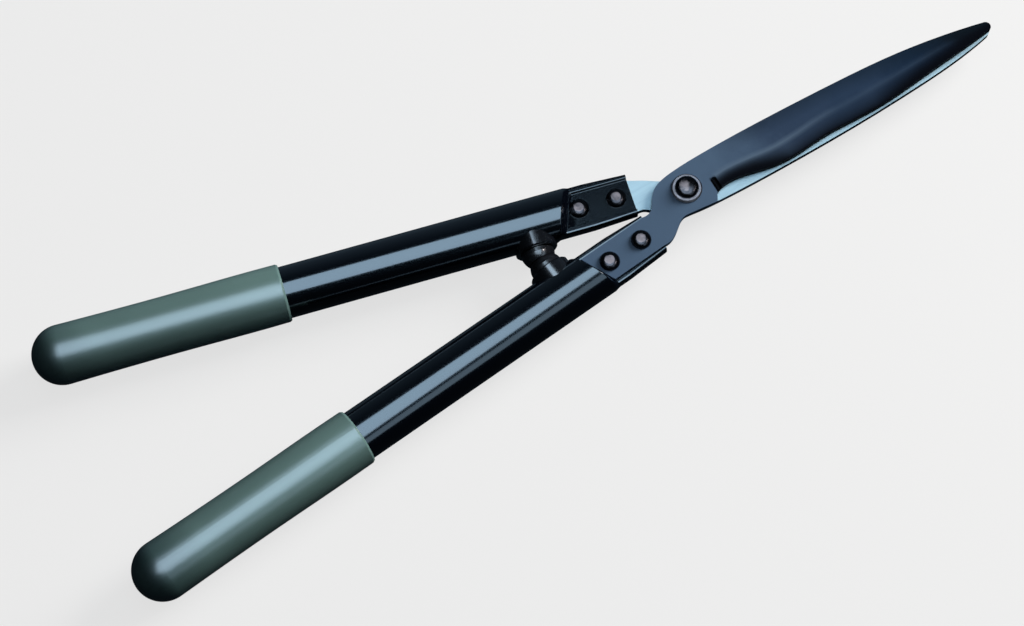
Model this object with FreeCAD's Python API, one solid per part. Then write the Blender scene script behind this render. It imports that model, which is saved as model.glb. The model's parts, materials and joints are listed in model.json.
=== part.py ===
"""Two-handed hedge shears: a pair of riveted steel blades on tubular handles, closed.

The frame has its origin on the pivot axis, on the plane that the closed shears lie on.
+X runs from the pivot to the blades' tips, +Z is up along the pivot axis, and +Y is the side of
the front (upper) blade's spine. The two blades meet on one level plane. The front half carries
the pivot bolt, and the rear half turns on it.

Each handle is made once, in a handle frame: X along the tube from the pivot side to the grip,
Z towards the face that holds the blade's tang, and Y away from the other handle. The front half
uses it as it is and the rear half uses it turned over, so both tubes are the same pressing.
"""
import FreeCAD
import Part
import math
import os

V = FreeCAD.Vector

# ---- Driving dimensions, in millimetres and degrees ----
TUBE_R = 15.0
TUBE_WALL = 1.2
GRIP_R = 16.7
GRIP_MOUTH_R = 17.0
GRIP_LIP = 0.8
GRIP_END_R = 17.2
GRIP_START = 238.0
GRIP_END = 384.0
TUBE_END = 352.0

BLADE_T = 4.0
BLADE_GAP = 0.05
MEETING_Z = GRIP_END_R

FRONT_ANGLE = 6.4
FRONT_OFFSET = -9.9
REAR_ANGLE = -12.9
REAR_OFFSET = 6.2
BLADE_OVERLAP = 1.2

TANG_HALF = 10.5
TANG_START = 31.5
TANG_BACK = 71.3
STEP_SLANT = 0.41
WEB_T = 3.0
RIM_LOW = -4.9
RIM_HIGH = 3.2
RIM_HALF_END = 12.4
STEP_RUN = 5.0
SHEET_R = 0.6
TANG_PLAY = 0.05

PLUG_FLANGE_T = 3.0
PLUG_STEM = 14.0
PLUG_WALL = 2.0

RIVET_SPOTS = (40.6, 63.1)
RIVET_SHANK_R = 3.0
RIVET_HEAD_R = 5.9
RIVET_HEAD_H = 3.2
RIVET_CROWN_R = 2.1
RIVET_RIM_H = 0.5
# Where the round of a head passes, as shares of its radius and height.
RIVET_ROUND = (0.80, 0.72)
BOLT_ROUND = (0.87, 0.66)

BUFFER_SPOT = 93.5
BUFFER_REACH = 23.75
SADDLE_R = 12.3
SADDLE_TOP = 17.6
BUFFER_R = 9.6
BUFFER_NOSE_R = 6.4
BUFFER_FOOT_R = 8.2
BUFFER_SEAT_DEPTH = 1.6
WELL_R = 4.4
WELL_DEPTH = 3.4
SLEEVE_R = 3.4
SLEEVE_HOLE_R = 2.05
SCREW_R = 2.0
SCREW_TIP = 10.0
SCREW_HEAD_R = 3.9
SCREW_HEAD_H = 2.3
SCREW_SLOT = 0.9

BOLT_R = 4.0
BOLT_HOLE_R = 4.05
BOLT_HEAD_R = 6.9
BOLT_HEAD_H = 3.6
BOLT_CROWN_R = 4.3
BOLT_CROWN_H = 0.4
BOLT_FLAT_R = 1.2
BOLT_RIM_H = 0.8
RING_R = 9.0
RING_T = 1.5
RING_CHAMFER = 0.8
THRUST_R = 8.5
THRUST_T = 1.6
DISC_SPRING_R = 8.0
DISC_SPRING_T = 0.8
DISC_SPRING_H = 1.3
NUT_FLATS = 13.0
NUT_H = 6.4
NUT_COLLAR_R = 5.9
NUT_COLLAR_H = 1.6
NUT_CHAMFER = 0.9
NUT_RING_R = 5.0
NUT_LIP = 0.3

# The blade's plan, pivot at the origin and spine on +Y. The spine bows out a little and then tapers.
SPINE = [(-3.5, 13.0), (18.0, 14.7), (60.0, 15.5), (110.0, 15.0), (150.0, 13.3)]
# Each blade's last two points on the spine, and the middle of the arc that rounds the tip after them.
# The rear blade is a little fuller there, so its steel shows past the front blade's edge.
FRONT_END = [(185.0, 9.2), (209.5, 4.7), (211.9, 2.3)]
REAR_END = [(185.0, 10.4), (208.5, 6.5), (211.5, 3.4)]
TIP = (210.6, -0.8)
# The cutting edge is a line that tapers to the tip, with a wave on it that dies away from the pivot.
EDGE_START = 20.0
EDGE_STOP = 197.0
EDGE_STATIONS = 14
EDGE_DEPTH = 11.4
TAPER_START = 105.0
TAPER_POWER = 1.45
WAVE_FIRST = 28.0
WAVE_PITCH = 72.0
WAVE_HEIGHT = 3.2
EDGE_T = 0.8
# The bevel's ridge runs from near the pivot towards the tip and follows part of the wave.
RIDGE_DEPTH = 2.6
RIDGE_RISE = 0.034
RIDGE_WAVE = 0.6
# The bevel's tool runs on past the tip and back past the start of the edge.
TIP_RUNOUT = 18.0
TIP_RISE = 2.8
TIP_BEVEL = 3.0
START_RUNOUT = 4.4
START_DROP = 1.2
NOTCH = [(14.0, -11.0), (11.5, -15.5)]
# A round-ended hollow is forged across the bevel where it starts beside the boss.
HOLLOW_X = 16.5
HOLLOW_END_Y = -3.1
HOLLOW_R = 1.9
HOLLOW_DEPTH = 1.9
# The neck between boss and tang: the inner side faces the other handle.
NECK_INNER = [(-24.2, -0.8), (-21.3, 3.2), (-17.3, 8.2), (-11.8, 11.2)]
FRONT_NECK_OUTER = [(-9.0, -14.0), (-12.5, -15.0), (-16.5, -18.0), (-21.0, -21.5)]
REAR_NOTCH_LOW = -12.5
REAR_NECK_OUTER = [(-8.5, -12.5), (-12.5, -15.0), (-18.5, -19.0), (-23.0, -21.5)]


def xyz(points, z=0.0):
    """Plan points as vectors at one height."""
    return [V(p[0], p[1], z) for p in points]


def curve(points):
    """A smooth edge through the points."""
    spline = Part.BSplineCurve()
    spline.interpolate(points)
    return spline.toShape()


def revolve(profile):
    """A solid turned about Z from (radius, height) points."""
    wire = Part.makePolygon([V(r, 0, h) for r, h in profile + profile[:1]])
    return Part.Face(wire).revolve(V(0, 0, 0), V(0, 0, 1), 360)


def tube_along_x(radius, start, end):
    return Part.makeCylinder(radius, end - start, V(start, 0, 0), V(1, 0, 0))


def prism(points, low, high):
    """A straight-sided solid on plan points, between two heights."""
    wire = Part.makePolygon(xyz(points + points[:1], low))
    return Part.Face(wire).extrude(V(0, 0, high - low))


def handle_frame(angle, offset, tang_up):
    """Where a handle's frame lies: its axis passes the pivot at the offset."""
    a = math.radians(angle)
    along = V(-math.cos(a), -math.sin(a), 0)
    up = V(0, 0, 1 if tang_up else -1)
    out = up.cross(along)
    base = V(-math.sin(a) * offset, math.cos(a) * offset, MEETING_Z)
    return FreeCAD.Placement(FreeCAD.Matrix(along.x, out.x, up.x, base.x, along.y, out.y, up.y, base.y,
                                            along.z, out.z, up.z, base.z, 0, 0, 0, 1))


FRONT_HANDLE = handle_frame(FRONT_ANGLE, FRONT_OFFSET, True)
REAR_HANDLE = handle_frame(REAR_ANGLE, REAR_OFFSET, False)
# A blade is drawn face down with its meeting face at Z 0, then set in place.
FRONT_BLADE = FreeCAD.Placement(V(0, 0, MEETING_Z), FreeCAD.Rotation())
TURNED_OVER = FreeCAD.Rotation(V(0, 0, 1), BLADE_OVERLAP).multiply(FreeCAD.Rotation(V(1, 0, 0), 180))
REAR_BLADE = FreeCAD.Placement(V(0, 0, MEETING_Z), TURNED_OVER)


def placed(shape, placement):
    moved = shape.copy()
    moved.transformShape(placement.toMatrix())
    return moved


# ---- Handle pieces, in the handle frame ----
def step_line(side, back=0.0):
    """Where the slanted end of the pressing lies at a distance to the side of the tube's axis."""
    return TANG_BACK + back - STEP_SLANT * side


def step_block(low, high, low_back, high_back):
    """What the press takes away above or below the flattened end, with a back wall that slopes up."""
    wide = 20.0
    front = TANG_START - 10

    def section(z, back):
        return Part.makePolygon([V(front, -wide, z), V(step_line(-wide, back), -wide, z),
                                 V(step_line(wide, back), wide, z), V(front, wide, z), V(front, -wide, z)])
    return Part.makeLoft([section(low, low_back), section(high, high_back)], True, True)


def pocket(half, low, high, back=0.0):
    """A straight pocket in the flattened end, as long as the tang."""
    front = TANG_START - 10
    corners = [(front, -half), (step_line(-half, back), -half), (step_line(half, back), half), (front, half)]
    return prism(corners, low, high)


def side_trim(side):
    """Narrows the flattened end towards the pivot."""
    far = 30.0
    back = TANG_BACK + 12
    narrow = RIM_HALF_END - 0.4
    return prism([(TANG_START - 10, side * narrow), (back, side * TUBE_R), (back, side * far),
                  (TANG_START - 10, side * far)], -far, far)


def handle_tube():
    """A round steel tube, pressed at the pivot end into a web with a rim along each side."""
    body = tube_along_x(TUBE_R, TANG_START, TUBE_END)
    tall = TUBE_R + 1
    body = body.cut(step_block(RIM_HIGH, tall, SHEET_R, SHEET_R + STEP_RUN))
    body = body.cut(step_block(RIM_LOW, -tall, SHEET_R, SHEET_R + STEP_RUN))
    for side in (-1, 1):
        body = body.cut(side_trim(side))
    body = body.cut(pocket(TANG_HALF + TANG_PLAY, BLADE_GAP, tall, SHEET_R / 2))
    body = body.cut(pocket(TANG_HALF - 0.4, -tall, BLADE_GAP - WEB_T, -1.0))
    bore_start = step_line(-TUBE_R, STEP_RUN + 1)
    body = body.cut(tube_along_x(TUBE_R - TUBE_WALL, bore_start, TUBE_END))
    for spot in RIVET_SPOTS:
        body = body.cut(Part.makeCylinder(RIVET_SHANK_R, 40, V(spot, 0, -20)))
    screw_hole = Part.makeCylinder(SCREW_R, TUBE_R, V(BUFFER_SPOT, 0, 0), V(0, -1, 0))
    return body.cut(screw_hole)


def grip():
    """A moulded sleeve, closed and rounded at its end, that slides over the tube and its plug."""
    end_centre = GRIP_END - GRIP_END_R
    tube_stop = TUBE_END + PLUG_FLANGE_T
    mouth = V(GRIP_START, 0, GRIP_MOUTH_R - GRIP_LIP)
    lip = V(GRIP_START + 1.5 * GRIP_LIP, 0, GRIP_MOUTH_R - GRIP_LIP / 8)
    waist = curve([lip, V(GRIP_START + 18, 0, GRIP_MOUTH_R), V(GRIP_START + 62, 0, GRIP_R),
                   V(end_centre - 22, 0, GRIP_R + 0.2), V(end_centre, 0, GRIP_END_R)])
    diagonal = GRIP_END_R * math.sqrt(0.5)
    nose = Part.Arc(V(end_centre, 0, GRIP_END_R), V(end_centre + diagonal, 0, diagonal),
                    V(GRIP_END, 0, 0)).toShape()
    inside = [V(GRIP_END, 0, 0), V(tube_stop, 0, 0), V(tube_stop, 0, TUBE_R), V(GRIP_START, 0, TUBE_R), mouth]
    edges = [Part.makePolygon([mouth, lip]), waist, nose, Part.makePolygon(inside)]
    wire = Part.Wire([e for part in edges for e in part.Edges])
    return Part.Face(wire).revolve(V(0, 0, 0), V(1, 0, 0), 360)


def tube_plug():
    """A plastic plug with a flange, so that the tube's cut end can't work through the grip."""
    bore = TUBE_R - TUBE_WALL
    flange = tube_along_x(TUBE_R, TUBE_END, TUBE_END + PLUG_FLANGE_T)
    stem = tube_along_x(bore, TUBE_END - PLUG_STEM, TUBE_END)
    hollow = tube_along_x(bore - PLUG_WALL, TUBE_END - PLUG_STEM - 1, TUBE_END - PLUG_WALL)
    return flange.fuse(stem).cut(hollow).removeSplitter()


def rivet_head(base, sign):
    """A low dome with a flat crown, on one side of the stack."""
    r, h = RIVET_HEAD_R, RIVET_HEAD_H
    rim, crown = V(r, 0, RIVET_RIM_H), V(RIVET_CROWN_R, 0, h)
    rise = Part.Arc(rim, V(r * RIVET_ROUND[0], 0, h * RIVET_ROUND[1]), crown).toShape()
    rest = Part.makePolygon([crown, V(0, 0, h), V(0, 0, 0), V(r, 0, 0), rim])
    dome = Part.Face(Part.Wire([rise] + rest.Edges)).revolve(V(0, 0, 0), V(0, 0, 1), 360)
    if sign < 0:
        dome.rotate(V(0, 0, 0), V(1, 0, 0), 180)
    dome.translate(V(0, 0, base))
    return dome


def rivet(spot):
    """One solid rivet through the tang and the tube's web."""
    top, bottom = BLADE_T, BLADE_GAP - WEB_T
    shank = Part.makeCylinder(RIVET_SHANK_R, top - bottom, V(0, 0, bottom))
    whole = shank.fuse([rivet_head(top, 1), rivet_head(bottom, -1)]).removeSplitter()
    whole.translate(V(spot, 0, 0))
    return whole


def inward(shape):
    """Turns a piece that was drawn along Z so that it points at the other handle, on the buffer's axis."""
    shape.rotate(V(0, 0, 0), V(1, 0, 0), 90)
    shape.translate(V(BUFFER_SPOT, 0, 0))
    return shape


def buffer_saddle():
    """A hard plastic seat that fits the tube on one side and holds the rubber on the other."""
    hole, low, rim = SLEEVE_R - 0.8, TUBE_R / 3, 0.8
    seat = SADDLE_TOP - BUFFER_SEAT_DEPTH
    drum = revolve([(hole, low), (SADDLE_R, low), (SADDLE_R, SADDLE_TOP - rim), (SADDLE_R - rim, SADDLE_TOP),
                    (BUFFER_FOOT_R, SADDLE_TOP), (BUFFER_FOOT_R, seat), (hole, seat)])
    return inward(drum).cut(tube_along_x(TUBE_R, BUFFER_SPOT - 30, BUFFER_SPOT + 30))


def buffer_block():
    """The rubber stop, with a well for its screw. Its face leans, so that the two stops meet flat."""
    low, high, seat = SADDLE_TOP - BUFFER_SEAT_DEPTH, BUFFER_REACH + 2.0, BUFFER_REACH - WELL_DEPTH
    rim_low, rim_high = SADDLE_TOP + 0.4, SADDLE_TOP + 2.6
    outer = Part.makePolygon([V(SLEEVE_R, 0, low), V(BUFFER_FOOT_R, 0, low), V(BUFFER_FOOT_R, 0, rim_low),
                              V(BUFFER_R, 0, rim_low), V(BUFFER_R, 0, rim_high)])
    end = V(BUFFER_NOSE_R, 0, high)
    nose = Part.Arc(V(BUFFER_R, 0, rim_high), V(BUFFER_R - 0.8, 0, high - 3.3), end).toShape()
    well = Part.makePolygon([end, V(WELL_R, 0, high), V(WELL_R, 0, seat), V(SLEEVE_R, 0, seat),
                             V(SLEEVE_R, 0, low)])
    wire = Part.Wire(outer.Edges + [nose] + well.Edges)
    block = Part.Face(wire).revolve(V(0, 0, 0), V(0, 0, 1), 360)
    beyond = Part.makeBox(60, 60, 20, V(-30, -30, BUFFER_REACH))
    beyond.rotate(V(0, 0, BUFFER_REACH), V(0, 1, 0), -(FRONT_ANGLE - REAR_ANGLE) / 2)
    return inward(block.cut(beyond))


def buffer_sleeve():
    """A steel spacer inside the rubber, so that the screw can't crush it."""
    low, high = SADDLE_TOP - BUFFER_SEAT_DEPTH, BUFFER_REACH - WELL_DEPTH
    return inward(revolve([(SLEEVE_HOLE_R, low), (SLEEVE_R, low), (SLEEVE_R, high), (SLEEVE_HOLE_R, high)]))


def buffer_screw():
    """A pan-head tapping screw down the well, through sleeve and saddle into the tube's wall."""
    seat = BUFFER_REACH - WELL_DEPTH
    top, rim, cone = seat + SCREW_HEAD_H, 0.8, 2.4
    shape = revolve([(0, SCREW_TIP), (SCREW_R / 2, SCREW_TIP), (SCREW_R, SCREW_TIP + cone), (SCREW_R, seat),
                     (SCREW_HEAD_R, seat), (SCREW_HEAD_R, top - rim), (SCREW_HEAD_R - rim, top), (0, top)])
    long, half, floor = 2 * SCREW_R, SCREW_SLOT / 2, seat + 1.2
    shape = shape.cut(Part.makeBox(long, SCREW_SLOT, long, V(-SCREW_R, -half, floor)))
    shape = shape.cut(Part.makeBox(SCREW_SLOT, long, long, V(-half, -SCREW_R, floor)))
    return inward(shape)


# ---- Blades, drawn face down ----
def wave(x):
    """How far the cutting edge waves in towards the spine: half as much at each half pitch."""
    halves = (x - WAVE_FIRST) / (WAVE_PITCH / 2)
    return WAVE_HEIGHT * 0.5 ** halves * math.cos(math.pi * halves)


def edge_y(x):
    """The cutting edge, up to where the tip's arc ends."""
    tip_x, tip_y = TIP
    run = max(0.0, x - TAPER_START) / (tip_x - TAPER_START)
    return -EDGE_DEPTH + (EDGE_DEPTH + tip_y) * run ** TAPER_POWER + wave(x)


def ridge_y(x):
    """Where the flat of the blade's outer face turns into the bevel."""
    return -RIDGE_DEPTH + RIDGE_RISE * (x - EDGE_START) + RIDGE_WAVE * wave(x)


def edge_stations():
    """Stations along the cutting edge, from the tip back to the pivot."""
    step = (EDGE_STOP - EDGE_START) / (EDGE_STATIONS - 1)
    return [EDGE_STOP - step * i for i in range(EDGE_STATIONS)]


def tang_corners(placement, blade):
    """The tang's four plan corners in the blade's own frame, from the handle that it sits in."""
    to_blade = blade.inverse().multiply(placement)
    spots = [(TANG_START, -TANG_HALF), (step_line(-TANG_HALF), -TANG_HALF), (step_line(TANG_HALF), TANG_HALF),
             (TANG_START, TANG_HALF)]
    return [to_blade.multVec(V(s, t, 0)) for s, t in spots]


def blade_face(placement, blade, neck_inner, neck_outer, notch, end):
    corners = [V(p.x, p.y, 0) for p in tang_corners(placement, blade)]
    inner_start, inner_back, outer_back, outer_start = corners
    spine = curve([inner_start] + xyz(neck_inner) + xyz(SPINE + end[:2]))
    tip = Part.Arc(*xyz(end[1:] + [TIP])).toShape()
    edge = curve(xyz([TIP] + [(x, edge_y(x)) for x in edge_stations()] + notch[:1]))
    boss = Part.makePolygon(xyz(notch) + xyz(neck_outer[:1]))
    neck = curve(xyz(neck_outer) + [outer_start])
    tang = Part.makePolygon([outer_start, outer_back, inner_back, inner_start])
    edges = [spine, tip, edge] + boss.Edges + [neck] + tang.Edges
    return Part.Face(Part.Wire(edges))


def bevel_tool():
    """What forging takes off the outer face, which rounds over from the ridge to the thin cutting edge."""
    past, tall = 4.0, BLADE_T + 1

    def section(x, y_edge, y_ridge):
        drop, run = BLADE_T - EDGE_T, y_ridge - y_edge
        radius = (run ** 2 + drop ** 2) / (2 * drop)
        turn = math.asin(run / radius)
        ridge, edge, low = V(x, y_ridge, BLADE_T), V(x, y_edge, EDGE_T), y_edge - past
        middle = V(x, y_ridge - radius * math.sin(turn / 2), BLADE_T - radius * (1 - math.cos(turn / 2)))
        below = V(x, low, EDGE_T - past * math.tan(turn))
        rest = Part.makePolygon([edge, below, V(x, low, tall), V(x, y_ridge, tall), ridge])
        return Part.Wire([Part.Arc(ridge, middle, edge).toShape()] + rest.Edges)
    tip_x, tip_y = TIP
    beyond_tip = section(tip_x + TIP_RUNOUT, tip_y + TIP_RISE, tip_y + TIP_RISE + TIP_BEVEL)
    rows = [section(x, edge_y(x), ridge_y(x)) for x in edge_stations()]
    runout = section(EDGE_START - START_RUNOUT, edge_y(EDGE_START) - START_DROP, ridge_y(EDGE_START))
    return Part.makeLoft([beyond_tip] + rows + [runout], True, True)


def bevel_hollow():
    """The hollow's forging die: a rod across the bevel with a ball at its end."""
    height = BLADE_T + HOLLOW_R - HOLLOW_DEPTH
    rod = Part.makeCylinder(HOLLOW_R, 20, V(HOLLOW_X, HOLLOW_END_Y - 20, height), V(0, 1, 0))
    return rod.fuse(Part.makeSphere(HOLLOW_R, V(HOLLOW_X, HOLLOW_END_Y, height)))


def blade(placement, blade_place, neck_inner, neck_outer, notch, end):
    plan = blade_face(placement, blade_place, neck_inner, neck_outer, notch, end)
    body = plan.extrude(V(0, 0, BLADE_T - BLADE_GAP))
    body.translate(V(0, 0, BLADE_GAP))
    body = body.cut(bevel_tool()).cut(bevel_hollow())
    to_blade = blade_place.inverse().multiply(placement)
    for spot in RIVET_SPOTS:
        centre = to_blade.multVec(V(spot, 0, 0))
        body = body.cut(Part.makeCylinder(RIVET_SHANK_R, 20, V(centre.x, centre.y, -10)))
    return body


def front_blade():
    body = blade(FRONT_HANDLE, FRONT_BLADE, NECK_INNER, FRONT_NECK_OUTER, NOTCH, FRONT_END)
    square = Part.makeBox(2 * BOLT_R, 2 * BOLT_R, 20, V(-BOLT_R, -BOLT_R, -10))
    return body.cut(square)


def rear_blade():
    notch = [NOTCH[0], (NOTCH[1][0], REAR_NOTCH_LOW)]
    body = blade(REAR_HANDLE, REAR_BLADE, NECK_INNER, REAR_NECK_OUTER, notch, REAR_END)
    return body.cut(Part.makeCylinder(BOLT_HOLE_R, 20, V(0, 0, -10)))


# ---- Pivot pieces, in the shears' own frame ----
def pivot_bolt():
    """A dome-headed bolt: its square neck is held by the front blade, and its shank carries the rear one."""
    top = MEETING_Z + BLADE_T + RING_T
    r, h = BOLT_HEAD_R, BOLT_HEAD_H
    rim, shoulder, flat = V(r, 0, BOLT_RIM_H), V(BOLT_CROWN_R, 0, h - BOLT_CROWN_H), V(BOLT_FLAT_R, 0, h)
    rise = Part.Arc(rim, V(r * BOLT_ROUND[0], 0, h * BOLT_ROUND[1]), shoulder).toShape()
    cap = Part.Arc(shoulder, V((BOLT_CROWN_R + BOLT_FLAT_R) / 2, 0, h - BOLT_CROWN_H / 3), flat).toShape()
    rest = Part.makePolygon([flat, V(0, 0, h), V(0, 0, 0), V(r, 0, 0), rim])
    head = Part.Face(Part.Wire([rise, cap] + rest.Edges)).revolve(V(0, 0, 0), V(0, 0, 1), 360)
    head.translate(V(0, 0, top))
    neck_low, chamfer = MEETING_Z + BLADE_GAP, 0.8
    neck = Part.makeBox(2 * BOLT_R, 2 * BOLT_R, top - neck_low, V(-BOLT_R, -BOLT_R, neck_low))
    inside = neck_low + 1
    shank = revolve([(0, 0), (BOLT_R - chamfer, 0), (BOLT_R, chamfer), (BOLT_R, inside), (0, inside)])
    return head.fuse([neck, shank]).removeSplitter()


def pivot_ring():
    """The bright collar under the bolt's head, with a chamfered rim."""
    low = MEETING_Z + BLADE_T
    top, face = low + RING_T, RING_R - RING_CHAMFER
    ring = revolve([(0, low), (RING_R, low), (RING_R, top - RING_CHAMFER), (face, top), (0, top)])
    return ring.cut(Part.makeBox(2 * BOLT_R, 2 * BOLT_R, 10, V(-BOLT_R, -BOLT_R, low - 5)))


THRUST_TOP = MEETING_Z - BLADE_T - BLADE_GAP
SPRING_TOP = THRUST_TOP - THRUST_T
NUT_TOP = SPRING_TOP - DISC_SPRING_H


def pivot_thrust_washer():
    return revolve([(BOLT_HOLE_R, THRUST_TOP - THRUST_T), (THRUST_R, THRUST_TOP - THRUST_T),
                    (THRUST_R, THRUST_TOP), (BOLT_HOLE_R, THRUST_TOP)])


def pivot_disc_spring():
    """A conical spring washer that keeps the blades pressed together."""
    inner = BOLT_HOLE_R + 0.1
    cone = DISC_SPRING_H - DISC_SPRING_T
    return revolve([(inner, NUT_TOP), (DISC_SPRING_R, NUT_TOP + cone), (DISC_SPRING_R, SPRING_TOP),
                    (inner, SPRING_TOP - cone)])


def pivot_nut():
    """A hexagon nut with a round collar that holds the locking ring."""
    across = NUT_FLATS / math.sqrt(3)
    turns = [math.radians(60 * i) for i in range(6)]
    corners = [(across * math.cos(turn), across * math.sin(turn)) for turn in turns]
    low, wide, face = NUT_TOP - NUT_H, across + 0.1, NUT_FLATS / 2 - 0.2
    hexagon = prism(corners, low, NUT_TOP)
    trim = revolve([(0, low), (face, low), (wide, low + NUT_CHAMFER), (wide, NUT_TOP - NUT_CHAMFER),
                    (face, NUT_TOP), (0, NUT_TOP)])
    collar_low, rim = low - NUT_COLLAR_H, 0.5
    collar = revolve([(0, collar_low), (NUT_COLLAR_R - rim, collar_low), (NUT_COLLAR_R, collar_low + rim),
                      (NUT_COLLAR_R, low + rim), (0, low + rim)])
    whole = hexagon.common(trim).fuse(collar).removeSplitter()
    whole = whole.cut(Part.makeCylinder(BOLT_R, 30, V(0, 0, -5)))
    return whole.cut(Part.makeCylinder(NUT_RING_R, NUT_COLLAR_H - NUT_LIP, V(0, 0, collar_low + NUT_LIP)))


def pivot_nut_ring():
    """The nylon ring that stops the nut from turning."""
    high = NUT_TOP - NUT_H
    low = high - NUT_COLLAR_H + NUT_LIP
    return revolve([(BOLT_R, low), (NUT_RING_R, low), (NUT_RING_R, high), (BOLT_R, high)])


def all_pieces():
    """Every piece's solid, by node name."""
    pieces = {
        "front_blade": placed(front_blade(), FRONT_BLADE),
        "rear_blade": placed(rear_blade(), REAR_BLADE),
        "pivot_bolt": pivot_bolt(),
        "pivot_ring": pivot_ring(),
        "pivot_thrust_washer": pivot_thrust_washer(),
        "pivot_disc_spring": pivot_disc_spring(),
        "pivot_nut": pivot_nut(),
        "pivot_nut_ring": pivot_nut_ring(),
    }
    for side, place in (("front", FRONT_HANDLE), ("rear", REAR_HANDLE)):
        made = {
            "tube": handle_tube(),
            "grip": grip(),
            "tube_plug": tube_plug(),
            "rivet_fore": rivet(RIVET_SPOTS[0]),
            "rivet_aft": rivet(RIVET_SPOTS[1]),
            "buffer_saddle": buffer_saddle(),
            "buffer": buffer_block(),
            "buffer_sleeve": buffer_sleeve(),
            "buffer_screw": buffer_screw(),
        }
        for name, shape in made.items():
            pieces[f"{side}_{name}"] = placed(shape, place)
    return pieces


def main():
    os.makedirs("parts", exist_ok=True)
    for name, shape in all_pieces().items():
        print(f"{name:22s} solids {len(shape.Solids)} valid {shape.isValid()} volume {shape.Volume:10.1f}")
        shape.exportStep(f"parts/{name}.step")


main()
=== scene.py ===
"""The looks of the hedge shears: materials, the tubes' pressed skins, floor, lights and camera.

Lengths are in metres, apart from the sizes of the tube and the blade, which are in millimetres.
"""
import json
import math

import bmesh
import bpy
from mathutils import Matrix, Vector


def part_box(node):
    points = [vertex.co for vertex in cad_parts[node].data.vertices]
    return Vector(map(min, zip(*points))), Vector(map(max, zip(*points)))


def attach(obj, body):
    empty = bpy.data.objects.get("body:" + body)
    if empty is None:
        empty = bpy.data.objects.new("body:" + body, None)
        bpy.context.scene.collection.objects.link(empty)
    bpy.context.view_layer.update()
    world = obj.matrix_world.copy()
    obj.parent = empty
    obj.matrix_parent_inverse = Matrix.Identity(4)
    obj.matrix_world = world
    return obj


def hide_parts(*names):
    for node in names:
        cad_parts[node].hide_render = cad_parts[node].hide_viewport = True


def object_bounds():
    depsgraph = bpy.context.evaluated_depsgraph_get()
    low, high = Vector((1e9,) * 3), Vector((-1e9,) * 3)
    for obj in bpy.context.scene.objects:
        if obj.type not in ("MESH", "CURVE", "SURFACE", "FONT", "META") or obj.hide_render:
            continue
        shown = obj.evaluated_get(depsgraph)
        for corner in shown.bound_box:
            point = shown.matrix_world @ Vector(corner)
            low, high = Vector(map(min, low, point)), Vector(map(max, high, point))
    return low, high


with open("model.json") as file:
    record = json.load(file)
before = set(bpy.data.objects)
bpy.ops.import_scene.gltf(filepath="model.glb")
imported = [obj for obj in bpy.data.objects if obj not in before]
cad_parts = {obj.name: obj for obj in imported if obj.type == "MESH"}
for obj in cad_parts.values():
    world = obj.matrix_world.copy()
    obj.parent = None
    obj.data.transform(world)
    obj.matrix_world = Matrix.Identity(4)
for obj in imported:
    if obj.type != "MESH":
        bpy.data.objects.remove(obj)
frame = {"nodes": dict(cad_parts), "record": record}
CAD_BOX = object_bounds()
NODES = frame["nodes"]

# ---- Places, from the frame ----
MOUNTS = {m["name"]: m for m in frame["record"]["mounts"]}
MM = 0.001
# How far along its handle each tube's clip mount stands, from the handle's own origin.
CLIP_SPOT = 170.0 * MM
GRIP_LOW, GRIP_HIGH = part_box("front_grip")
AXIS_Z = (GRIP_LOW.z + GRIP_HIGH.z) / 2

# ---- The handle tube: the CAD tube's own sizes, in millimetres ----
TUBE_R = 15.0
TUBE_WALL = 1.2
TUBE_START = 31.5
TUBE_END = 352.0
TANG_HALF = 10.5
STEP_BACK = 71.9
STEP_SLANT = 0.41
WEB_TOP = 0.05
WEB_BOTTOM = -2.95
RIM_HIGH = 3.2
RIM_LOW = -4.9

# ---- Where the tube's skin has more shape than the CAD tube, in millimetres ----
# The step is shorter, and on the side away from the tang it stands ahead and slants less.
STEP_RUN = 4.2
UNDER_AHEAD = 2.0
UNDER_SLANT = 0.345
# The pressed end's half width, how fast it grows toward the grip, and how far its sides bulge.
END_HALF = 12.45
SIDE_TAPER = 0.0486
SIDE_SWELL = 0.5
RIM_ROUND = 0.9
# How far the pocket's walls and its end spread, to the inside and to the outside.
POCKET_WALL = (0.25, 0.3)
POCKET_END = (0.4, 0.3)
# How much narrower and shorter the pocket is on the side away from the tang.
UNDER_NARROWER = 0.5
UNDER_SHORTER = 1.2

# ---- The skin's mesh, in millimetres ----
# How far round from its top or bottom the tube's flank starts.
SIDE_ANGLE = math.radians(66.0)
# Points across the top from the middle out, close together at the pocket's wall.
INNER_SPOTS = [0.0, 3.0, 6.0, 8.4, 9.3, 9.7, 9.95, 10.1, 10.25, 10.4, 10.55, 10.75]
RIM_STEPS = 7
WALL_STEPS = 14
# Rings along the tube, as a start, a gap and a count.
FLAT_RINGS = (TUBE_START, 2.0, 18)
STEP_RINGS = (STEP_BACK - 3.6, 0.3, 40)
PLAIN_RINGS = (STEP_BACK + 10.0, 12.0, 20)
# Where the rings lean fully with the step's slant, where the lean starts to fade and where it is gone.
LEAN_FULL = STEP_BACK - 4.0
LEAN_FADES = STEP_BACK + 9.0
LEAN_GONE = STEP_BACK + 60.0
BORE_START = STEP_BACK + 22.0
# A place where the tube is round.
ROUND_SPOT = STEP_BACK + 40.0
SHARP_ANGLE = math.radians(35.0)

# ---- The blade's bevel and hollow: the CAD blade's own sizes, in millimetres ----
WAVE_FIRST = 28.0
WAVE_HALF_PITCH = 36.0
WAVE_HEIGHT = 3.2
RIDGE_DEPTH = 2.6
RIDGE_START = 20.0
RIDGE_RISE = 0.034
RIDGE_WAVE = 0.6
HOLLOW_X = 16.5
EDGE_DEPTH = 11.4
EDGE_RISE = 10.6
TAPER_START = 105.0
TAPER_END = 210.6
TAPER_POWER = 1.45
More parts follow.
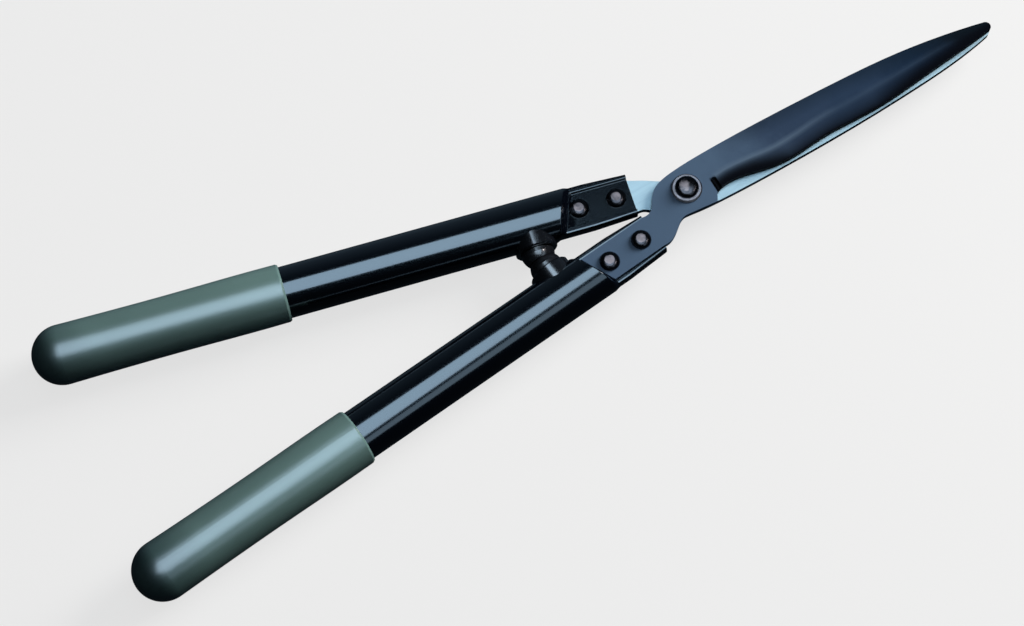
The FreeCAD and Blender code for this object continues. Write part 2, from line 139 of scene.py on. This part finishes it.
# How far the rear blade is turned past the front one, about the pivot.
BLADE_OVERLAP = math.radians(1.2)

# ---- The blade's coating ----
# Painted shade on the flat, darker in steps from the boss to the tip: where each step starts and is full, in
# millimetres from the pivot.
BOSS_BLUE = (0.068, 0.113, 0.182)
FLAT_PAINTED_SHADES = [
    (15.0, 75.0, (0.028, 0.049, 0.092)),
    (70.0, 110.0, (0.018, 0.036, 0.072)),
    (120.0, 160.0, (0.006, 0.017, 0.040)),
    (160.0, 190.0, (0.0006, 0.0010, 0.0030)),
]
SPINE_SHADE = (0.004, 0.010, 0.016)
RIDGE_PAINTED_HIGHLIGHT = (0.100, 0.150, 0.215)
BEVEL_PAINTED_SHADE = (0.0004, 0.0006, 0.002)
HOLLOW_PAINTED_SHADE = (0.0002, 0.0003, 0.0006)
# Spans in millimetres along or across the blade. Two more numbers are what a span is carried to.
BEVEL_START = (16.0, 18.5)
BEVEL_POWER = (42.0, 64.0, 3.6, 0.85)
BEVEL_TIP_POWER = (125.0, 160.0, 0.0, 1.6)
RIDGE_HIGHLIGHT_STRENGTH = (105.0, 62.0, 0.10, 0.62)
RIDGE_HIGHLIGHT_STOP = (190.0, 165.0)
RIDGE_HIGHLIGHT_WIDTH = (2.8, 0.0)
RIDGE_HIGHLIGHT_BELOW = 0.1
SPINE_START = (25.0, 50.0)
SPINE_FALL = (110.0, 205.0, 0.0, -9.0)
SPINE_STRENGTH = (6.0, 14.0, 0.0, 0.45)
HOLLOW_SIDE = (2.3, 1.6)
HOLLOW_TOP = (-0.4, -2.2)
# How far the blotches shift the shades along the blade and the ridge across it, in millimetres.
SHADE_SHIFT = 14.0
RIDGE_SHIFT = 0.4
# How level the inner face has to be, as its normal's Z, to count as ground.
GROUND_LEVEL = (0.985, 0.995)

# ---- The painted highlight on the crown of a rivet or bolt ----
CROWN_PAINTED_HIGHLIGHT = (0.30, 0.235, 0.225)
# How level the head is where the painted highlight starts and where it is full, as its normal's Z.
CROWN_LEVEL = (0.982, 0.999)
# How much further the painted highlight reaches on one side than the other, and what a noise takes away or
# adds.
CROWN_LEAN = -0.06
CROWN_MISSED = (0.35, 0.65, -0.012, 0.003)
CROWN_ROUGHER = 0.24

# ---- Where the grips' painted light and painted shade start and are full, along the frame's X ----
GRIP_MOUTH_PAINTED_LIGHT = (-0.320, -0.245)
GRIP_END_PAINTED_SHADE = (-0.338, -0.370)

# ---- Camera and lights: where they stand and what they look at, in the shears' frame ----
CAMERA_AT = Vector((-0.3697, -0.4153, AXIS_Z + 1.2347))
CAMERA_TO = Vector((-0.1248, -0.0153, AXIS_Z))
CAMERA_UP = Vector((0.4988, 0.8667, 0.0))
LENS = 82.1
SENSOR_WIDTH = 36.0
VIEW_END = 50.0
LIGHT_REACH = 2.4
BLUE_LIGHT = (0.62, 0.81, 1.0)

# ---- Floor, and the wall that the world shows beyond the top of the picture ----
FLOOR_SIZE = 12.0
FLOOR_DROP = 0.0002
FLOOR_GLOW = 0.72
WALL_COLOUR = (0.5, 0.75, 1.0, 1.0)
WALL_FADE = (0.5, 1.0)
WALL_STRENGTH = (0.012, 0.13)


# ---- Node helpers ----
class Tree:
    """A material's node tree, with short calls for the nodes that the materials here share."""

    def __init__(self, name):
        self.material = bpy.data.materials.new(name)
        self.material.use_nodes = True
        self.nodes = self.material.node_tree.nodes
        self.links = self.material.node_tree.links
        self.nodes.clear()
        self.shader = self.nodes.new("ShaderNodeBsdfPrincipled")
        output = self.nodes.new("ShaderNodeOutputMaterial")
        self.links.new(self.shader.outputs[0], output.inputs["Surface"])
        self.place = self.nodes.new("ShaderNodeTexCoord")

    def put(self, node, socket, value):
        """Sets a socket to a number or colour, or links it to another node's output."""
        if isinstance(value, bpy.types.NodeSocket):
            self.links.new(value, node.inputs[socket])
        else:
            node.inputs[socket].default_value = value

    def set(self, **values):
        """Principled sockets by name, with underscores for spaces."""
        for name, value in values.items():
            self.put(self.shader, name.replace("_", " "), value)

    def stretched(self, scale):
        """Object coordinates, multiplied along each axis."""
        node = self.nodes.new("ShaderNodeMapping")
        self.put(node, "Vector", self.place.outputs["Object"])
        self.put(node, "Scale", scale)
        return node.outputs["Vector"]

    def noise(self, scale, detail=3.0, rough=0.55, stretch=None):
        node = self.nodes.new("ShaderNodeTexNoise")
        self.put(node, "Vector", self.stretched(stretch) if stretch else self.place.outputs["Object"])
        self.put(node, "Scale", scale)
        self.put(node, "Detail", detail)
        self.put(node, "Roughness", rough)
        return node.outputs["Fac"]

    def span(self, value, low, high, to_low=0.0, to_high=1.0):
        """Carries low..high to to_low..to_high, and clamps."""
        node = self.nodes.new("ShaderNodeMapRange")
        self.put(node, "Value", value)
        self.put(node, "From Min", low)
        self.put(node, "From Max", high)
        self.put(node, "To Min", to_low)
        self.put(node, "To Max", to_high)
        return node.outputs["Result"]

    def vary(self, noise, to_low=0.0, to_high=1.0):
        """Carries the middle of a noise's range to to_low..to_high."""
        return self.span(noise, 0.3, 0.7, to_low, to_high)

    def maths(self, operation, a, b=0.0):
        node = self.nodes.new("ShaderNodeMath")
        node.operation = operation
        self.put(node, 0, a)
        self.put(node, 1, b)
        return node.outputs[0]

    def blend(self, amount, a, b):
        """Colour a where amount is 0 and colour b where it is 1."""
        node = self.nodes.new("ShaderNodeMix")
        node.data_type = "RGBA"
        self.put(node, "Factor", amount)
        self.put(node, 6, (*a, 1.0) if isinstance(a, tuple) else a)
        self.put(node, 7, (*b, 1.0) if isinstance(b, tuple) else b)
        return node.outputs[2]

    def axis(self, source, letter):
        node = self.nodes.new("ShaderNodeSeparateXYZ")
        self.put(node, "Vector", self.place.outputs[source])
        return node.outputs[letter]

    def bump(self, *layers):
        """Stacks (height, depth in metres) layers into one normal."""
        normal = None
        for height, depth in layers:
            node = self.nodes.new("ShaderNodeBump")
            self.put(node, "Strength", 1.0)
            self.put(node, "Distance", depth)
            self.put(node, "Height", height)
            if normal is not None:
                self.put(node, "Normal", normal)
            normal = node.outputs["Normal"]
        self.put(self.shader, "Normal", normal)


# ---- The blades ----
def blade_places(t, turned):
    """The blade's own x and y in millimetres. The rear blade is the front one turned over."""
    node = t.nodes.new("ShaderNodeMapping")
    node.vector_type = "TEXTURE"
    t.put(node, "Vector", t.place.outputs["Object"])
    t.put(node, "Rotation", (0.0, 0.0, BLADE_OVERLAP if turned else 0.0))
    t.put(node, "Scale", (MM, -MM if turned else MM, MM))
    split = t.nodes.new("ShaderNodeSeparateXYZ")
    t.put(split, "Vector", node.outputs["Vector"])
    return split.outputs["X"], split.outputs["Y"]


def bevel_lines(t, x):
    """Where the bevel's wavy ridge and the cutting edge lie at x, in millimetres."""
    halves = t.maths("DIVIDE", t.maths("SUBTRACT", x, WAVE_FIRST), WAVE_HALF_PITCH)
    swing = t.maths("COSINE", t.maths("MULTIPLY", halves, math.pi))
    wave = t.maths("MULTIPLY", t.maths("MULTIPLY", t.maths("POWER", 0.5, halves), swing), WAVE_HEIGHT)
    rise = t.maths("MULTIPLY", t.maths("SUBTRACT", x, RIDGE_START), RIDGE_RISE)
    ridge = t.maths("ADD", t.maths("SUBTRACT", rise, RIDGE_DEPTH), t.maths("MULTIPLY", wave, RIDGE_WAVE))
    taper = t.maths("POWER", t.span(x, TAPER_START, TAPER_END), TAPER_POWER)
    edge = t.maths("ADD", t.maths("SUBTRACT", t.maths("MULTIPLY", taper, EDGE_RISE), EDGE_DEPTH), wave)
    return ridge, edge


def flat_colour(t, x, y, blotch):
    """The coating on the flat, with painted shade that darkens it in steps from the boss toward the tip and
    at the spine.
    """
    along = t.maths("ADD", x, t.vary(blotch, -SHADE_SHIFT, SHADE_SHIFT))
    colour = BOSS_BLUE
    for start, stop, shade in FLAT_PAINTED_SHADES:
        colour = t.blend(t.span(along, start, stop), colour, shade)
    # Painted shade toward the spine.
    spine = t.span(t.maths("SUBTRACT", y, t.span(x, *SPINE_FALL)), *SPINE_STRENGTH)
    return t.blend(t.maths("MULTIPLY", spine, t.span(x, *SPINE_START)), colour, SPINE_SHADE)


def blade_coating(t, x, y, blotch):
    """The coating's colour with its painted highlight and shades, and how far the painted shade has darkened
    the bevel.
    """
    ridge, edge = bevel_lines(t, x)
    above = t.maths("ADD", t.maths("SUBTRACT", y, ridge), t.vary(blotch, -RIDGE_SHIFT, RIDGE_SHIFT))
    beyond_boss = t.span(x, *BEVEL_START)
    share = t.maths("DIVIDE", above, t.maths("SUBTRACT", edge, ridge))
    # Painted shade: the bevel darkens from its ridge to the edge, soonest near the boss and slowest on the
    # waves.
    power = t.maths("ADD", t.span(x, *BEVEL_POWER), t.span(x, *BEVEL_TIP_POWER))
    darker = t.maths("SUBTRACT", 1.0, t.maths("POWER", t.span(share, 0.0, 0.97, 1.0, 0.0), power))
    bevel_shade = t.maths("MULTIPLY", darker, beyond_boss)
    # A painted highlight lies on the ridge as a pale line, and fades toward the tip.
    near = t.maths("ABSOLUTE", t.maths("ADD", above, RIDGE_HIGHLIGHT_BELOW))
    reach = t.maths("MULTIPLY", t.span(x, *RIDGE_HIGHLIGHT_STRENGTH), t.span(x, *RIDGE_HIGHLIGHT_STOP))
    ridge_highlight = t.maths("MULTIPLY", t.maths("MULTIPLY", t.span(near, *RIDGE_HIGHLIGHT_WIDTH), reach), beyond_boss)
    flat = t.blend(ridge_highlight, flat_colour(t, x, y, blotch), RIDGE_PAINTED_HIGHLIGHT)
    colour = t.blend(bevel_shade, flat, BEVEL_PAINTED_SHADE)
    # Painted shade makes the hollow at the bevel's start black.
    hollow_shade = t.span(t.maths("ABSOLUTE", t.maths("SUBTRACT", x, HOLLOW_X)), *HOLLOW_SIDE)
    hollow_shade = t.maths("MULTIPLY", hollow_shade, t.span(y, *HOLLOW_TOP))
    return t.blend(hollow_shade, colour, HOLLOW_PAINTED_SHADE), bevel_shade


def blade(name, turned):
    """Forged blade: bluish satin coating, painted shade on the bevel, a painted ridge highlight, and a bright
    ground inner face.
    """
    t = Tree(name)
    x, y = blade_places(t, turned)
    blotch = t.noise(30.0, 5.0, 0.6)
    grain = t.noise(1500.0, 2.0)
    lines = t.noise(520.0, 4.0, stretch=(0.05, 1.0, 1.0))
    facing = t.maths("MULTIPLY", t.axis("Normal", "Z"), 1.0 if turned else -1.0)
    ground = t.span(facing, *GROUND_LEVEL)

    coating, bevel_shade = blade_coating(t, x, y, blotch)
    steel = t.blend(t.vary(lines), (0.37, 0.53, 0.61), (0.45, 0.62, 0.69))
    t.set(Base_Color=t.blend(ground, coating, steel), Metallic=t.span(ground, 0.0, 1.0, 0.0, 0.35))
    coated = t.maths("ADD", t.vary(blotch, 0.42, 0.52), t.span(bevel_shade, 0.0, 1.0, 0.0, 0.2))
    finish = t.nodes.new("ShaderNodeMix")
    t.put(finish, "Factor", ground)
    t.put(finish, 2, coated)
    t.put(finish, 3, t.vary(lines, 0.36, 0.48))
    t.set(Roughness=finish.outputs[0], IOR=1.15)
    t.bump((blotch, 0.0003), (lines, 0.000012), (grain, 0.00002))
    return t.material


# ---- The other materials ----
def tube_paint():
    """Black stoved gloss paint with a little orange peel."""
    t = Tree("tube_paint")
    peel = t.noise(260.0, 2.0)
    dust = t.noise(1400.0, 4.0)
    t.set(Base_Color=t.blend(t.span(dust, 0.45, 0.8), (0.0006, 0.0010, 0.0026), (0.0016, 0.0024, 0.0050)))
    t.set(Roughness=t.span(dust, 0.35, 0.75, 0.14, 0.20), IOR=1.55)
    t.set(Specular_Tint=(0.70, 0.90, 1.0, 1.0), Coat_Weight=1.0, Coat_Roughness=0.10, Coat_IOR=1.5)
    t.bump((peel, 0.000006))
    return t.material


def grip_plastic():
    """Grey-green moulded plastic, semi-gloss, with a fine grain. Painted light near the mouth, painted shade
    on the round end.
    """
    t = Tree("grip_plastic")
    cloud = t.noise(22.0, 3.0)
    grain = t.noise(1500.0, 3.0)
    along = t.axis("Object", "X")
    colour = t.blend(t.vary(cloud), (0.094, 0.166, 0.158), (0.116, 0.198, 0.188))
    # Painted light: paler near the mouth.
    colour = t.blend(t.span(along, *GRIP_MOUTH_PAINTED_LIGHT), colour, (0.128, 0.220, 0.206))
    # Painted shade: darker toward the round end.
    colour = t.blend(t.span(along, *GRIP_END_PAINTED_SHADE), colour, (0.026, 0.056, 0.058))
    t.set(Base_Color=colour, Roughness=t.vary(grain, 0.30, 0.38))
    t.set(IOR=1.55, Coat_Weight=1.0, Coat_Roughness=0.31, Coat_IOR=1.62)
    t.bump((cloud, 0.0002), (grain, 0.000012))
    return t.material


def black_moulding(name, colour, low_rough, high_rough, grain_depth, gloss=0.0):
    """Moulded plastic or rubber with a fine grain, and a clear gloss over it if one is asked for."""
    t = Tree(name)
    grain = t.noise(1300.0, 4.0)
    t.set(Base_Color=t.blend(t.span(grain, 0.4, 0.75), colour, tuple(2.0 * c for c in colour)))
    t.set(Roughness=t.vary(grain, low_rough, high_rough), IOR=1.55)
    t.set(Coat_Weight=gloss, Coat_Roughness=0.16, Coat_IOR=1.7)
    t.bump((grain, grain_depth))
    return t.material


def metal(name, colour, worn, low_rough, high_rough, crown=None):
    """Plated or blackened steel, paler where it is worn, with a pale, dull painted highlight on the crown if
    one is given.
    """
    t = Tree(name)
    patch = t.noise(240.0, 5.0, 0.65)
    scratch = t.noise(1800.0, 3.0, stretch=(1.0, 0.12, 1.0))
    finish = t.blend(t.span(patch, 0.42, 0.72), colour, worn)
    rough = t.vary(scratch, low_rough, high_rough)
    if crown:
        # Painted highlight: the level crown of the head is paler and duller, leaning to one side.
        level = t.maths("ABSOLUTE", t.axis("Normal", "Z"))
        sideways = t.maths("SUBTRACT", t.axis("Normal", "X"), t.axis("Normal", "Y"))
        lean = t.maths("MULTIPLY", sideways, CROWN_LEAN)
        missed = t.span(t.noise(260.0, 2.0), *CROWN_MISSED)
        crown_highlight = t.span(t.maths("ADD", t.maths("ADD", level, lean), missed), *CROWN_LEVEL)
        finish = t.blend(crown_highlight, finish, crown)
        rough = t.maths("ADD", rough, t.span(crown_highlight, 0.0, 1.0, 0.0, CROWN_ROUGHER))
    t.set(Base_Color=finish, Metallic=1.0, Roughness=rough)
    t.bump((patch, 0.00003), (scratch, 0.00001))
    return t.material


MATERIALS = {
    "blade_coating": blade("blade_coating", False),
    "blade_steel": blade("blade_steel", True),
    "tube_paint": tube_paint(),
    "grip_plastic": grip_plastic(),
    "rubber": black_moulding("rubber", (0.004, 0.004, 0.005), 0.26, 0.38, 0.00001, 0.6),
    "saddle_plastic": black_moulding("saddle_plastic", (0.003, 0.0035, 0.005), 0.14, 0.22, 0.000006, 1.0),
    "plug_plastic": black_moulding("plug_plastic", (0.02, 0.02, 0.02), 0.4, 0.5, 0.00003),
    "nylon": black_moulding("nylon", (0.30, 0.33, 0.36), 0.35, 0.45, 0.00001),
    "dark_steel": metal("dark_steel", (0.035, 0.034, 0.038), (0.07, 0.065, 0.07), 0.20, 0.30, CROWN_PAINTED_HIGHLIGHT),
    "collar_steel": metal("collar_steel", (0.24, 0.215, 0.22), (0.38, 0.34, 0.35), 0.38, 0.50),
    "plated_steel": metal("plated_steel", (0.55, 0.54, 0.50), (0.68, 0.68, 0.66), 0.24, 0.36),
    "spring_steel": metal("spring_steel", (0.16, 0.15, 0.14), (0.30, 0.28, 0.26), 0.28, 0.40),
}


def dress_nodes():
    """Gives each CAD node the material of its slot in the record."""
    for part in frame["record"]["subparts"]:
        piece = NODES[part["node"]]
        piece.data.materials.clear()
        piece.data.materials.append(MATERIALS[part["material_slot"]])


# ---- The pressed handle tube ----
def ease(value, low, high):
    """0 below low, 1 above high, with a soft start and stop."""
    x = min(1.0, max(0.0, (value - low) / (high - low)))
    return x * x * (3.0 - 2.0 * x)


def handle_matrix(side):
    """From the handle's own millimetres to the frame: X to the grip, Z to the side that holds the tang."""
    clip = MOUNTS[f"{side}_tube_clip"]
    ahead = Vector(clip["axis"]).normalized()
    up = Vector((0.0, 0.0, 1.0 if side == "front" else -1.0))
    along = -ahead
    out = up.cross(along)
    base = Vector(clip["pos_m"]) + ahead * CLIP_SPOT
    turn = Matrix((along, out, up)).transposed().to_4x4()
    return Matrix.Translation(base) @ turn @ Matrix.Diagonal((MM, MM, MM, 1.0))


def ring_keys():
    """Once round the tube: top from -Y to +Y, the +Y wall, the bottom back again, the -Y wall."""
    half = [("flat", spot) for spot in INNER_SPOTS]
    half += [("rim", i / RIM_STEPS) for i in range(1, RIM_STEPS + 1)]
    across = [(kind, -1, at) for kind, at in reversed(half)][:-1] + [(kind, 1, at) for kind, at in half]
    top = [("top", *key) for key in across]
    bottom = [("bottom", *key) for key in reversed(across)]
    down = [("wall", "down", 1, i / WALL_STEPS) for i in range(1, WALL_STEPS)]
    rise = [("wall", "rise", -1, i / WALL_STEPS) for i in range(1, WALL_STEPS)]
    return top + down + bottom + rise


def step_at(t, under):
    """Where the step starts. Under is 0 on the tang's side, where it follows the tang, and 1 on the other."""
    return STEP_BACK - UNDER_AHEAD * under - (STEP_SLANT + (UNDER_SLANT - STEP_SLANT) * under) * t


def pressed(s, t, under):
    """How far the press has flattened the tube at a place: 1 in the flat end and 0 in the round tube."""
    return 1.0 - ease(s, step_at(t, under), step_at(t, under) + STEP_RUN)


def pocket_at(s, t, half, back, under):
    """1 in the pocket between the rims, 0 outside it. Its end lies past the step's start by back."""
    wall = 1.0 - ease(abs(t), half - POCKET_WALL[0], half + POCKET_WALL[1])
    end = step_at(t, under) + back
    return wall * (1.0 - ease(s, end - POCKET_END[0], end + POCKET_END[1]))


def wall_point(s, key, flat_half):
    """One point of the flank, where at runs down the +Y side and up the -Y side."""
    _, direction, sign, at = key
    share = at if direction == "down" else 1.0 - at
    angle = SIDE_ANGLE + share * (math.pi - 2.0 * SIDE_ANGLE)
    t_round = sign * TUBE_R * math.sin(angle)
    z_round = TUBE_R * math.cos(angle)
    swell = SIDE_SWELL * math.sin(math.pi * share)
    top, bottom = RIM_HIGH - RIM_ROUND, RIM_LOW + RIM_ROUND
    amount = pressed(s, t_round, share)
    t = t_round + amount * (sign * (flat_half + swell) - t_round)
    z = z_round + amount * (top + (bottom - top) * share - z_round)
    return s, t, z


def face_point(s, key, flat_half, round_half):
    """One point of the top or the bottom: its web, its rims and the pocket between them."""
    face, kind, sign, at = key
    edge = INNER_SPOTS[-1]
    t_round = sign * (at if kind == "flat" else edge + at * (round_half - edge))
    t_flat = sign * (at if kind == "flat" else edge + at * (flat_half - edge))
    under = 0.0 if face == "top" else 1.0
    amount = pressed(s, t_round, under)
    t = t_round + amount * (t_flat - t_round)
    height = math.sqrt(TUBE_R ** 2 - t_round ** 2)
    into = RIM_ROUND - (flat_half - abs(t_flat))
    drop = RIM_ROUND - math.sqrt(max(0.0, RIM_ROUND ** 2 - into ** 2)) if into > 0 else 0.0
    if face == "top":
        level = RIM_HIGH - drop
        level += (WEB_TOP - level) * pocket_at(s, t, TANG_HALF, 0.0, under)
    else:
        height = -height
        level = RIM_LOW + drop
        level += (WEB_BOTTOM - level) * pocket_at(s, t, TANG_HALF - UNDER_NARROWER, -UNDER_SHORTER, under)
    return s, t, height + amount * (level - height)


def tube_point(s, key):
    """One point of the tube's skin."""
    round_half = TUBE_R * math.sin(SIDE_ANGLE)
    flat_half = min(END_HALF + SIDE_TAPER * (s - TUBE_START), round_half)
    if key[0] == "wall":
        return wall_point(s, key, flat_half)
    return face_point(s, key, flat_half, round_half)


def tube_stations():
    """Where the rings stand: close together at the step, with a lean that follows its slant."""
    spots = []
    for start, gap, count in (FLAT_RINGS, STEP_RINGS, PLAIN_RINGS):
        spots += [start + i * gap for i in range(count)]
    for spot in spots + [TUBE_END]:
        yield spot, ease(spot, TUBE_START, LEAN_FULL) * (1.0 - ease(spot, LEAN_FADES, LEAN_GONE))


def tube_rings(mesh):
    """Rings of points from the pressed end to the cut end, then back up the bore."""
    keys = ring_keys()
    rings = []
    for spot, lean in tube_stations():
        ring = []
        for key in keys:
            _, t, _ = tube_point(ROUND_SPOT, key)
            place = spot - lean * STEP_SLANT * t
            ring.append(mesh.verts.new(tube_point(place, key)))
        rings.append(ring)
    for spot in (TUBE_END, BORE_START):
        ring = []
        for vert in rings[-1]:
            flat = Vector((0.0, vert.co.y, vert.co.z)).normalized() * (TUBE_R - TUBE_WALL)
            ring.append(mesh.verts.new((spot, flat.y, flat.z)))
        rings.append(ring)
    return rings


def tube(side):
    """The tube's skin, its bore and its cut end, in place of the plainer CAD tube."""
    mesh = bmesh.new()
    rings = tube_rings(mesh)
    count = len(rings[0])
    for low, high in zip(rings, rings[1:]):
        for i in range(count):
            j = (i + 1) % count
            face = mesh.faces.new((low[i], low[j], high[j], high[i]))
            face.smooth = True
    mesh.faces.new(rings[0][::-1])
    mesh.faces.new(rings[-1])
    bmesh.ops.recalc_face_normals(mesh, faces=mesh.faces)
    data = bpy.data.meshes.new(f"{side}_tube_skin")
    mesh.to_mesh(data)
    mesh.free()
    data.transform(handle_matrix(side))
    data.set_sharp_from_angle(angle=SHARP_ANGLE)
    data.materials.append(MATERIALS["tube_paint"])
    skin = bpy.data.objects.new(f"{side}_tube_skin", data)
    bpy.context.scene.collection.objects.link(skin)
    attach(skin, f"{side}_half")
    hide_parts(f"{side}_tube")


# ---- Stage ----
def floor():
    """A plain pale floor. The shears' gloss and shading leave it out, as with a backdrop a long way down."""
    bpy.ops.mesh.primitive_plane_add(size=FLOOR_SIZE, location=(0.0, 0.0, CAD_BOX[0][2] - FLOOR_DROP))
    plane = bpy.context.object
    plane.name = "floor"
    t = Tree("floor")
    t.set(Base_Color=(0.15, 0.15, 0.15, 1.0), Roughness=0.9, Specular_IOR_Level=0.0)
    t.set(Emission_Color=(1.0, 1.0, 1.0, 1.0), Emission_Strength=FLOOR_GLOW)
    plane.data.materials.append(t.material)
    plane.visible_glossy = False
    plane.visible_diffuse = False


def aimed(place, target):
    """Stands at place and looks at target, with the picture's own way up."""
    back = (place - target).normalized()
    across = CAMERA_UP.cross(back).normalized()
    return Matrix.Translation(place) @ Matrix((across, back.cross(across), back)).transposed().to_4x4()


def toward(across, along):
    """A light's place, in the direction whose level parts are across and along the picture."""
    up = CAMERA_UP.normalized()
    right = up.cross(Vector((0.0, 0.0, 1.0)))
    level = right * across + up * along
    rise = (1.0 - level.length_squared) ** 0.5
    return CAMERA_TO + (level + Vector((0.0, 0.0, rise))) * LIGHT_REACH


def area_light(name, place, size, power, colour, glossy=True, diffuse=True):
    light = bpy.data.lights.new(name, "AREA")
    light.shape = "RECTANGLE"
    light.size, light.size_y = size
    light.energy = power
    light.color = colour
    lamp = bpy.data.objects.new(name, light)
    bpy.context.scene.collection.objects.link(lamp)
    lamp.matrix_world = aimed(place, CAMERA_TO)
    lamp.visible_camera = False
    lamp.visible_glossy = glossy
    lamp.visible_diffuse = diffuse


def studio():
    """The room round the shears: dark, with a dim blue wall beyond the top of the picture."""
    world = bpy.data.worlds.new("world")
    world.use_nodes = True
    nodes, links = world.node_tree.nodes, world.node_tree.links
    place = nodes.new("ShaderNodeTexCoord")
    toward_wall = nodes.new("ShaderNodeVectorMath")
    toward_wall.operation = "DOT_PRODUCT"
    links.new(place.outputs["Generated"], toward_wall.inputs[0])
    toward_wall.inputs[1].default_value = CAMERA_UP.normalized()
    fade = nodes.new("ShaderNodeMapRange")
    links.new(toward_wall.outputs["Value"], fade.inputs["Value"])
    for socket, number in zip(("From Min", "From Max", "To Min", "To Max"), WALL_FADE + WALL_STRENGTH):
        fade.inputs[socket].default_value = number
    sky = nodes["Background"]
    sky.inputs["Color"].default_value = WALL_COLOUR
    links.new(fade.outputs["Result"], sky.inputs["Strength"])
    return world


def lights():
    """Three lights that show only in the gloss, and two that only shade."""
    area_light("softbox", toward(0.04, -0.06), (1.9, 2.1), 58.0, BLUE_LIGHT, diffuse=False)
    area_light("edge_light", toward(0.62, -0.40), (0.8, 1.8), 6.0, BLUE_LIGHT, diffuse=False)
    area_light("glint", toward(0.63, 0.08), (0.28, 0.28), 7.0, (1.0, 0.93, 0.92), diffuse=False)
    area_light("top", toward(0.1, 0.1), (2.0, 2.0), 13.0, (0.90, 0.96, 1.0), glossy=False)
    area_light("key", toward(0.73, 0.54), (1.2, 1.2), 98.0, (1.0, 0.98, 0.95), glossy=False)
    bpy.context.scene.world = studio()
    bpy.context.scene.view_settings.view_transform = "Standard"


def camera():
    data = bpy.data.cameras.new("camera")
    data.lens = LENS
    data.sensor_width = SENSOR_WIDTH
    data.clip_end = VIEW_END
    item = bpy.data.objects.new("camera", data)
    bpy.context.scene.collection.objects.link(item)
    item.matrix_world = aimed(CAMERA_AT, CAMERA_TO)
    bpy.context.scene.camera = item


dress_nodes()
for half in ("front", "rear"):
    tube(half)
floor()
lights()
camera()
